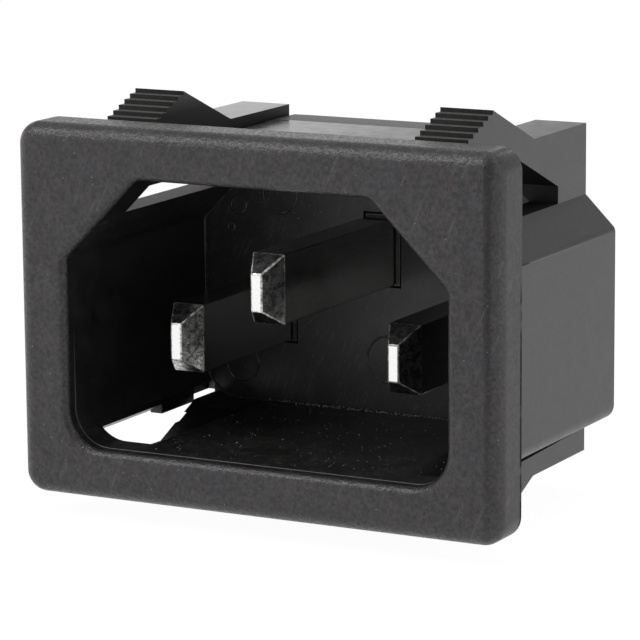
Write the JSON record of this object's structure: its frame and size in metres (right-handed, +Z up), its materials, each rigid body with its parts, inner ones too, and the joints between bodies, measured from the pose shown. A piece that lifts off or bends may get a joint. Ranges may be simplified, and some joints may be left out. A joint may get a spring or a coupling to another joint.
{
  "type": "power inlet socket",
  "caption": "Snap-in panel power inlet: keyed rectangular shroud behind a bezel flange, bevelled blade pins inside, serrated snap arms outside and push-on tabs at the rear.",
  "frame": {"origin": "middle of the bezel flange's rear face, in the plane where the panel's front meets it, level with the middle of the opening", "axes": "+X to the right as seen from the plug side, +Y back through the panel along the pins, +Z up towards the earth pin and the keyed corners"},
  "size_m": [0.0306, 0.0295, 0.0242],
  "materials": {
    "housing_plastic": "fine matte grain on the bezel, smoother inside the shroud",
    "pin_metal": "bright nickel plate"
  },
  "bodies": {
    "root": {"housing": "housing_plastic", "earth_pin": "pin_metal", "left_pin": "pin_metal", "right_pin": "pin_metal"}
  },
  "joints": []
}
